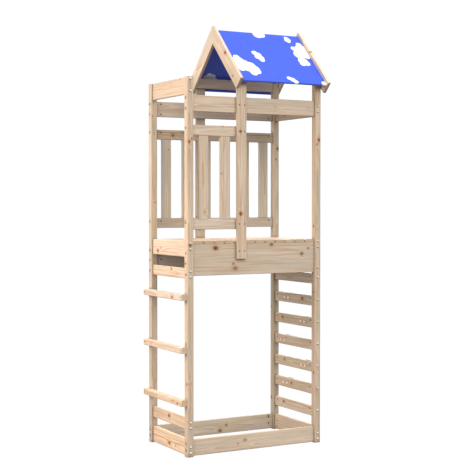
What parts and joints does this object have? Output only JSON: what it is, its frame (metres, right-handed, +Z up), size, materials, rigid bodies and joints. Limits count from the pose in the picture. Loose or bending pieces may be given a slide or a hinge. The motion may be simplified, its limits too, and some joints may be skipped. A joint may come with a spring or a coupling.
{
  "type": "wooden climbing tower",
  "caption": "Wooden garden climbing tower with a ladder side, a climbing wall side with stones, a planked deck, slatted railings and a small gabled roof with a cloth cover.",
  "frame": {"origin": "on the ground, in the middle of the part's own box", "axes": "+X to the right seen from the front, from the ladder to the climbing wall; +Y to the back, the side with the full railing; +Z up"},
  "size_m": [0.9628, 0.6854, 2.4923],
  "materials": {
    "pine": "planed, untreated pine",
    "dowel_wood": "plain beech dowel",
    "roof_cloth": "woven cloth printed with white clouds on blue",
    "stone_resin": "rough moulded",
    "zinc_steel": "zinc plated"
  },
  "bodies": {
    "root": {"post_front_left": "pine", "post_back_left": "pine", "post_front_right": "pine", "post_back_right": "pine", "left_top_rail": "pine", "left_deck_rail_upper": "pine", "left_deck_rail_lower": "pine", "ladder_rung_1": "pine", "ladder_rung_2": "pine", "ladder_rung_3": "pine", "left_base_rail_upper": "pine", "left_base_rail_lower": "pine", "right_top_rail": "pine", "right_deck_rail_upper": "pine", "right_deck_rail_lower": "pine", "right_base_board": "pine", "climbing_board_1": "pine", "climbing_board_2": "pine", "climbing_board_3": "pine", "climbing_board_4": "pine", "climbing_board_5": "pine", "climbing_board_6": "pine", "climbing_board_7": "pine", "front_top_rail": "pine", "front_panel_rail_upper": "pine", "front_panel_rail_lower": "pine", "front_slat_1": "pine", "front_slat_2": "pine", "front_deck_board": "pine", "front_base_board": "pine", "back_top_rail": "pine", "back_panel_rail_upper": "pine", "back_panel_rail_lower": "pine", "back_slat_1": "pine", "back_slat_2": "pine", "back_slat_3": "pine", "back_slat_4": "pine", "back_slat_5": "pine", "back_slat_6": "pine", "back_deck_board": "pine", "back_base_board": "pine", "deck_planks": "pine", "roof_upright_front": "pine", "roof_upright_back": "pine", "rafter_left_front": "pine", "rafter_left_back": "pine", "rafter_right_front": "pine", "rafter_right_back": "pine", "ridge_beam": "pine", "eave_beam_front": "pine", "eave_beam_back": "pine", "roof_cover": "roof_cloth", "hem_rods": "zinc_steel", "climbing_stones": "stone_resin", "frame_bolts": "zinc_steel", "barrel_nuts": "zinc_steel", "wood_screws": "zinc_steel", "slat_dowels": "dowel_wood", "stone_bolts": "zinc_steel", "stone_nuts": "zinc_steel"}
  },
  "joints": []
}
